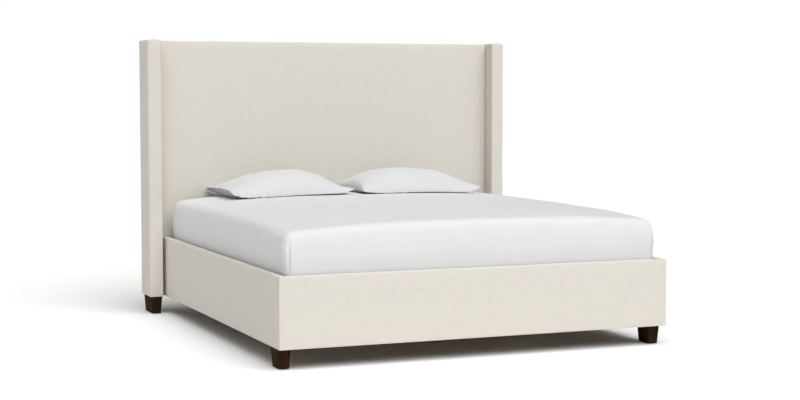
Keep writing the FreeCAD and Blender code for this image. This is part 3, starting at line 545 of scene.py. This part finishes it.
def staples(steel, frame_of, depth):
    """Staples all round through the middle of the back cloth's hem."""
    left, right, under, over = frame_of
    middle, first = BACK_HEM / 2, STAPLE_PITCH / 2
    spots = [(x, z, 0) for x in np.arange(left + first, right, STAPLE_PITCH)
             for z in (under + middle, over - middle)]
    spots += [(x, z, 1) for z in np.arange(under + first, over, STAPLE_PITCH)
              for x in (left + middle, right - middle)]
    points, quads = [], []
    for x, z, upright in spots:
        reach = np.array([0.6, 0.3, 5.0] if upright else [5.0, 0.3, 0.6]) * MM
        centre = np.array([x, depth, z])
        bar, walls = surface(*([a, b] for a, b in zip(centre - reach, centre + reach)))
        quads += [[i + len(points) for i in wall] for wall in walls]
        points += bar.tolist()
    piece("headboard_staples", points, quads, "bed_frame", steel)


# Bedding

def plan_round(points, low, high, radius):
    """Rounds the upright edges of a box's points by a radius that may change from point to point."""
    middle, half = (low[:2] + high[:2]) / 2, (high[:2] - low[:2]) / 2
    off = points[:, :2] - middle
    core = np.clip(off, -(half - radius[:, None]), half - radius[:, None])
    out = off - core
    length, most = np.linalg.norm(out, axis=1), np.abs(out).max(axis=1)
    out *= np.where(length > 0, most / np.maximum(length, 1e-9), 1)[:, None]
    made = points.copy()
    made[:, :2] = middle + core + out
    return made


def block_of_foam(low, high, top_edge, low_edge, skip=None, step=16 * MM):
    """A mattress's surface: round top and bottom edges, upright corners that are rounder higher up."""
    beside = np.array([-10, -6, -3, 0, 3, 6, 11]) * MM
    near_fold = [s * (high[0] - SHEET_FOLD - d) for s in (-1, 1) for d in beside]
    xs = lines(low[0], high[0], top_edge, step, near_fold, arc=True, near=8)
    ys = lines(low[1], high[1], top_edge, step, arc=True, near=8)
    zs = np.linspace(low[2] + low_edge, high[2] - top_edge, 14)
    points, quads = surface(xs, ys, zs, skip)
    inset = face_inset(points, low, high, 2)
    top, bottom = points[:, 2] == zs[-1], points[:, 2] == zs[0]
    corner = MATTRESS_CORNER + (top_edge - MATTRESS_CORNER) * ease(points[:, 2], zs[-1] - 0.09, zs[-1])
    points = plan_round(points, low, high, corner)
    over = np.clip(inset / top_edge, 0, 1)
    points[top, 2] += (top_edge * np.sqrt(1 - (1 - over) ** 2))[top]
    over = np.clip(inset / low_edge, 0, 1)
    points[bottom, 2] -= (low_edge * np.sqrt(1 - (1 - over) ** 2))[bottom]
    return points, quads, inset


def crown(points, low, high):
    """How far a mattress's top falls away from its middle towards its edges, least at the head."""
    off = (points[:, :2] - (low[:2] + high[:2]) / 2) / ((high - low)[:2] / 2)
    sides, foot, head = MATTRESS_FALL
    fall = np.stack([np.full(len(off), sides), np.where(off[:, 1] < 0, foot, head)], axis=1)
    return (fall * np.minimum(np.abs(off), 1.05) ** 3.2).sum(axis=1)


def mattress(cloth):
    """The mattress under its sheet."""
    low, high = corners("mattress")
    low = low + np.array([0, 0, 1.2 * MM])
    high = high - np.array([0, 0, 6 * MM])
    points, quads, _ = block_of_foam(low + 1 * MM, high - 1 * MM, MATTRESS_ROUND, 44 * MM, step=40 * MM)
    points[:, 2] -= crown(points, low, high) * ease(points[:, 2], low[2] + 0.10, high[2])
    made = piece("mattress_core", points, quads, "mattress", cloth, ("mattress",))
    return made


def fitted_sheet(cloth):
    """The fitted sheet: crowned top, full sides, a tucked fold at the foot's corners, gathered under."""
    low, high = corners("fitted_sheet")
    rail_top = corners("footboard_cover")[1][2]
    span = high[:2] - low[:2]

    def open_under(axis, end, u, v):
        depth = min(u - low[0], high[0] - u, v - low[1], high[1] - v)
        return axis == 2 and not end and depth > SHEET_TUCK

    points, quads, inset = block_of_foam(low, high, MATTRESS_ROUND, 45 * MM, open_under)
    middle = (low + high) / 2
    x, y, z = points[:, 0] - middle[0], points[:, 1] - middle[1], points[:, 2]
    outward = np.stack([np.where(np.abs(x) > 0.985 * span[0] / 2, np.sign(x), 0),
                        np.where(np.abs(y) > 0.985 * span[1] / 2, np.sign(y), 0)], axis=1)
    outward /= np.maximum(np.linalg.norm(outward, axis=1), 1)[:, None]
    side = ((z < high[2] - 20 * MM) & (z > low[2] + 10 * MM)).astype(float)
    belly = 6.5 * MM * ease(z, rail_top + 5 * MM, rail_top + 90 * MM)
    belly *= 1 - ease(z, high[2] - 0.11, high[2] - 0.02)
    slack = 1.3 * MM * ripple(points, 0.26, 71) * ease(z, rail_top, rail_top + 0.05)
    points[:, :2] += outward * (side * (belly + slack))[:, None]
    front = (points[:, 1] < low[1] + 25 * MM) * side * (1 - ease(z, high[2] - 0.105, high[2] - 0.06))
    fold = np.abs(x) - (span[0] / 2 - SHEET_FOLD)
    points[:, 1] += front * (8 * MM * groove(fold, 0, 3.2 * MM) - 2.5 * MM * groove(fold, 9 * MM, 6 * MM))
    points[:, 2] += ease(z, high[2] - 4 * MM, high[2]) * 0.7 * MM * (ripple(points[:, :2], 0.35, 72) - 1)
    round_it = np.stack([np.arctan2(y, x) * 1.2, z * 0.3], axis=1)
    gather = (1 - ease(z, low[2] + 0.01, low[2] + 0.06)) * ease(inset, 0.0, 0.03)
    points[:, 2] += 1.0 * MM * gather * (1 + ripple(round_it, 0.05, 73)) / 2
    points[:, 2] -= crown(points, low, high) * ease(z, low[2] + 0.10, high[2])
    made = piece("fitted_sheet_cloth", points, quads, "mattress", cloth,
                 ("fitted_sheet",))
    thicken(made, 0.8 * MM)
    return made


def creases(u, y, t, length, half, seed):
    """A pillow's broad dents, and its creases across its sides, its ends and its closed corners."""
    at = np.stack([u.ravel(), y.ravel()], axis=1)
    dents = ripple(at, 0.24, seed).reshape(u.shape)
    by_side = ripple(at * [1, 0.15], 0.040, seed + 1).reshape(u.shape)
    by_end = ripple(at * [0.15, 1], 0.038, seed + 2).reshape(u.shape)
    slant = ripple((at @ np.array([[1, 1], [1, -1]])) * [1, 0.2], 0.10, seed + 3).reshape(u.shape)
    reach = half - np.abs(y)
    crease = 1.6 * MM * by_side * np.exp(-reach / 0.035) * ease(u, 0, 0.08)
    crease = crease + 1.8 * MM * by_end * np.exp(-u / 0.045) * (1 - t ** 4)
    crease = crease + 1.6 * MM * by_end * ease(u, length - 0.17, length - 0.03) * (1 - t ** 4)
    crease = crease + 2.2 * MM * slant * np.exp(-np.hypot(u, reach) / 0.11)
    return dents, crease


def pillow_form(length, half, high, seed, blunt):
    """A pillow in its case, from its seamed end at 0, fuller the blunter, to the open end at its length."""
    along = np.concatenate([length * (1 - np.cos(np.linspace(0, 0.42, 26) * math.pi)) / 2,
                            np.linspace(length * 0.39, length - HEM - 8 * MM, 56)[1:],
                            length - HEM + np.array([-5, -2.5, -1, 1, 2.5, 5]) * MM,
                            np.linspace(length - HEM + 9 * MM, length, 15)])
    turn = np.sin(np.linspace(-0.5, 0.5, 71) * math.pi)
    share = along / length
    rise = np.sin(np.clip(share / 0.42, 0, 1) * math.pi / 2) ** (0.8 - 0.45 * blunt)
    past = np.clip((share - 0.45) / 0.55, 0, 1)
    plump = rise * (1 - 0.70 * past ** 2.2 - 0.26 * past ** 20)
    rows = []
    for upper in (True, False):
        u, t = np.meshgrid(along, turn if upper else turn[-2:0:-1], indexing="ij")
        lens = np.maximum(1 - np.abs(t) ** 2.5, 0) ** 0.64
        bulk = plump[:, None] * lens
        y = t * (half - 3 * MM * np.sin(np.clip(u / length, 0, 1) * math.pi) ** 0.7)
        x = u + (1 - t ** 2) * (14 * MM * (1 - ease(u, 0, 0.2)) - 10 * MM * ease(u, length - 0.12, length))
        curl = np.abs(2 * u / length - 1) ** 8 * (1 - 0.6 * blunt * (u < length / 2))
        tips = np.where(u > length / 2, PILLOW_TIPS[1], PILLOW_TIPS[0])
        seam_z = 4 * MM + tips * curl + 1.5 * MM * np.sin(u * 11 + seed)
        dents, crease = creases(u, y, t, length, half, seed)
        seam = groove(u, length - HEM, 2 * MM)
        mouth = 2.5 * MM * ease(u, length - 0.10, length) * (1 - t ** 2) ** 0.5
        if upper:
            z = seam_z * (1 - bulk) + high * bulk + crease + (3 * MM * dents - 3 * MM) * bulk + mouth
            z = z - 2.2 * MM * seam * lens
        else:
            z = seam_z * (1 - np.clip(bulk * 1.6, 0, 1) ** 1.1) + crease * 0.4 * (1 - bulk) - mouth
            arch = seam_z * (1 - bulk) + high * bulk + crease - mouth - 3 * MM
            z = z + (arch - z) * ease(u, length - 0.06, length)
            z = np.maximum(z + 1.2 * MM * seam * lens, 0)
        rows.append(np.stack([x, y, z], axis=2))
    return np.concatenate(rows, axis=1)


def pillow(name, cloth, seed, opens, blunt):
    """A pillow in a case whose hemmed end is open, showing the pillow's end inside."""
    low, high = corners(name)
    size = high - low
    outside = pillow_form(size[0], size[1] / 2, size[2], seed, blunt)
    around = outside.shape[1]
    lining = outside[-16:][::-1].copy()
    centre = lining.mean(axis=1, keepdims=True)
    gap = lining - centre
    gap[:, :, 2] = np.sign(gap[:, :, 2]) * np.maximum(np.abs(gap[:, :, 2]) - 1.2 * MM, 0.2 * MM)
    gap[:, :, 1] *= (size[1] / 2 - 2 * MM) / (size[1] / 2)
    form = np.concatenate([outside, centre + gap])
    points = form.reshape(-1, 3)
    faces = [[r * around + c, r * around + (c + 1) % around, (r + 1) * around + (c + 1) % around,
              (r + 1) * around + c] for r in range(len(form) - 1) for c in range(around)]
    faces += [list(range(around))[::-1], [(len(form) - 1) * around + c for c in range(around)]]
    middle = (low + high) / 2
    if opens < 0:
        points = points * [-1, 1, 1] + [size[0], 0, 0]
        faces = [face[::-1] for face in faces]
    points = points + [low[0], middle[1], low[2]]
    lift = np.clip((points[:, 2] - low[2]) / size[2], 0, 1)
    points[:, 2] -= crown(points, *corners("fitted_sheet")) * (1 - 0.7 * lift)
    made = piece(f"{name}_in_case", points, faces, name, cloth, (name,), True, 75)
    return made


# Stage

def floor():
    """A pale plain floor."""
    half = 30.0
    corner_points = [(x * half, y * half, 0) for x, y in ((-1, -1), (1, -1), (1, 1), (-1, 1))]
    mesh = bpy.data.meshes.new("floor")
    mesh.from_pydata(corner_points, [], [[0, 1, 2, 3]])
    material, _, _ = shader("floor_white", Base_Color=(0.98, 0.98, 0.98, 1), Roughness=0.8,
                            Specular_IOR_Level=0.0)
    mesh.materials.append(material)
    made = bpy.data.objects.new("floor", mesh)
    bpy.context.scene.collection.objects.link(made)


def light():
    """A broad key from the front and above, a weaker one from behind on the left, and a little all round."""
    world = bpy.data.worlds.new("studio")
    bpy.context.scene.world = world
    world.use_nodes = True
    tree = world.node_tree
    background = tree.nodes["Background"]
    seen = node(tree, "LightPath", {}).outputs["Is Camera Ray"]
    tree.links.new(maths(tree, "MAXIMUM", maths(tree, "MULTIPLY", seen, 1.05), 0.185),
                   background.inputs["Strength"])
    background.inputs["Color"].default_value = (1, 0.985, 0.96, 1)
    for name, way, strength, spread in (("key", (-0.05, 0.53, -0.845), 3.09, 66),
                                        ("rim", (0.75, -0.35, -0.56), 0.26, 60)):
        lamp = bpy.data.lights.new(name, "SUN")
        lamp.energy, lamp.angle = strength, math.radians(spread)
        made = bpy.data.objects.new(name, lamp)
        made.rotation_mode = "QUATERNION"
        made.rotation_quaternion = Vector(way).to_track_quat("-Z", "Y")
        bpy.context.scene.collection.objects.link(made)


def camera():
    """The picture's own camera."""
    made = bpy.data.objects.new("camera", bpy.data.cameras.new("camera"))
    made.location = CAMERA_PLACE
    made.rotation_euler = (math.radians(90 - CAMERA_DOWN), 0, math.radians(-CAMERA_YAW))
    made.data.lens, made.data.sensor_width = CAMERA_LENS, 36
    bpy.context.scene.collection.objects.link(made)
    bpy.context.scene.camera = made


def build():
    """The stage, the CAD nodes' materials and every soft piece."""
    camera()
    floor()
    light()
    bpy.context.scene.view_settings.view_transform = "Standard"
    dress_frame()
    cloth = linen()
    rail("left", -1, cloth)
    rail("right", 1, cloth)
    footboard(cloth)
    panel = headboard(cloth)
    wing("left", -1, cloth)
    wing("right", 1, cloth)
    backing(back_cloth(), metal("staple_steel", (0.6, 0.6, 0.62), 0.3))
    core = mattress(ticking())
    fitted_sheet(cotton("sheet_percale", (0.700, 0.706, 0.714)))
    case = cotton("pillow_percale", (0.624, 0.630, 0.638))
    pillow("left_pillow", case, 81, -1, 0)
    pillow("right_pillow", case, 91, 1, 1)


build()
